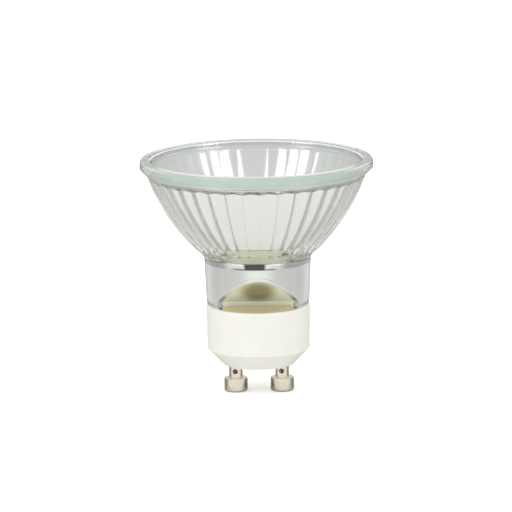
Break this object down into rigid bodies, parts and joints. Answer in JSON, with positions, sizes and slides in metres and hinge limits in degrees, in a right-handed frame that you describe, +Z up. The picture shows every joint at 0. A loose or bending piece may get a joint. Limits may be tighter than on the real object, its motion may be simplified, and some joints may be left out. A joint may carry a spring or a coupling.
{
  "type": "halogen reflector bulb",
  "caption": "Halogen reflector bulb: a fluted glass bowl closed by a front glass, on a glass neck with slanted flats, a white ceramic cap and headed pins, with a sealed quartz capsule inside.",
  "frame": {"origin": "on the lamp's axis, level with the end faces of the contact pins", "axes": "+Z up the lamp's axis from the pins to the front glass; the two pins lie on the X axis; the neck's slanted flats face -Y and +Y"},
  "size_m": [0.05, 0.05, 0.0509],
  "materials": {
    "clear_glass": "polished",
    "sealant": "satin",
    "mirrored_glass": "polished",
    "ceramic": "satin",
    "nickel": "satin",
    "cement": "matte",
    "quartz": "polished",
    "tungsten": "satin",
    "molybdenum": "satin",
    "nickel_wire": "satin"
  },
  "bodies": {
    "root": {"front_glass": "clear_glass", "rim_sealant": "sealant", "reflector": "mirrored_glass", "ceramic_base": "ceramic", "base_cement": "cement", "contact_pin_left": "nickel", "contact_pin_right": "nickel", "burner_cement": "cement", "burner_capsule": "quartz", "filament": "tungsten", "filament_support": "tungsten", "inner_lead_left": "molybdenum", "inner_lead_right": "molybdenum", "foil_left": "molybdenum", "foil_right": "molybdenum", "outer_lead_left": "nickel_wire", "outer_lead_right": "nickel_wire"}
  },
  "joints": []
}
